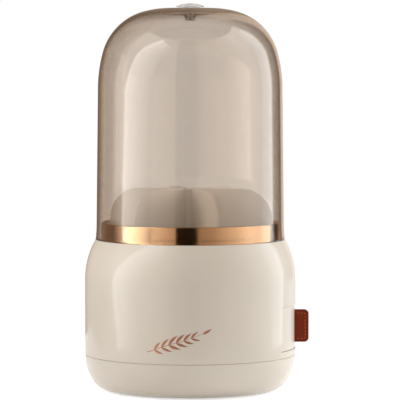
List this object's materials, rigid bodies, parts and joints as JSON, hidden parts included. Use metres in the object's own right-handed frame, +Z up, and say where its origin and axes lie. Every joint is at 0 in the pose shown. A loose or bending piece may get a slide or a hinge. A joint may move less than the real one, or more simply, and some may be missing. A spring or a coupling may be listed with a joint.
{
  "type": "brush holder with drawer",
  "caption": "Round turning make-up brush pot with a radial divider, a rose gold collar, a lift-off smoked dome and a side drawer with a leather pull tab.",
  "frame": {"origin": "on the resting face, under the turning axis", "axes": "+Z up along the turning axis; +X the way the drawer opens; -Y the side that faces the viewer"},
  "size_m": [0.1597, 0.15, 0.2754],
  "materials": {
    "cream_shell": "glossy cream moulded plastic",
    "inner_plastic": "satin off-white moulded plastic",
    "rose_gold": "polished rose gold plating",
    "smoked_clear": "clear moulded plastic with a light smoky tint",
    "clear_knob": "clear moulded plastic",
    "brown_leather": "red-brown leather with painted edges",
    "grip_rubber": "matt rubber",
    "bearing_steel": "bright rolled steel",
    "screw_steel": "zinc-plated steel",
    "slide_plastic": "self-lubricating matt plastic"
  },
  "bodies": {
    "foot": {"foot_shell": "cream_shell", "grip_disc": "grip_rubber", "lower_race": "bearing_steel"},
    "cage": {"ball_cage": "slide_plastic", "bearing_balls": "bearing_steel"},
    "pot": {"upper_race": "bearing_steel", "pivot_washer": "screw_steel", "pivot_screw": "screw_steel", "base_plate": "inner_plastic", "plate_screws": "screw_steel", "body_shell": "cream_shell", "left_rail": "slide_plastic", "right_rail": "slide_plastic", "rail_screws": "screw_steel", "brush_cup": "inner_plastic", "cup_screws": "screw_steel", "collar_ring": "rose_gold", "brush_divider": "inner_plastic", "divider_screw": "screw_steel"},
    "drawer": {"drawer_tray": "inner_plastic", "drawer_front": "cream_shell", "front_screws": "screw_steel", "pull_tab": "brown_leather", "tab_clamp": "screw_steel", "tab_screws": "screw_steel"},
    "dome": {"dome_cover": "smoked_clear", "dome_knob": "clear_knob"}
  },
  "joints": [
    {"name": "pot_turn", "type": "hinge", "parent": "foot", "child": "pot", "pos_m": [0, 0, 0.0258], "axis": [0, 0, 1], "continuous": true},
    {"name": "cage_turn", "type": "hinge", "parent": "foot", "child": "cage", "pos_m": [0, 0, 0.0228], "axis": [0, 0, 1], "continuous": true},
    {"name": "drawer_slide", "type": "slide", "parent": "pot", "child": "drawer", "axis": [1, 0, 0], "range_m": [0, 0.076]},
    {"name": "dome_lift", "type": "slide", "parent": "pot", "child": "dome", "axis": [0, 0, 1], "range_m": [0, 0.15]}
  ],
  "couplings": [
    {"joint": "cage_turn", "follows": "pot_turn", "ratio": 0.5}
  ]
}
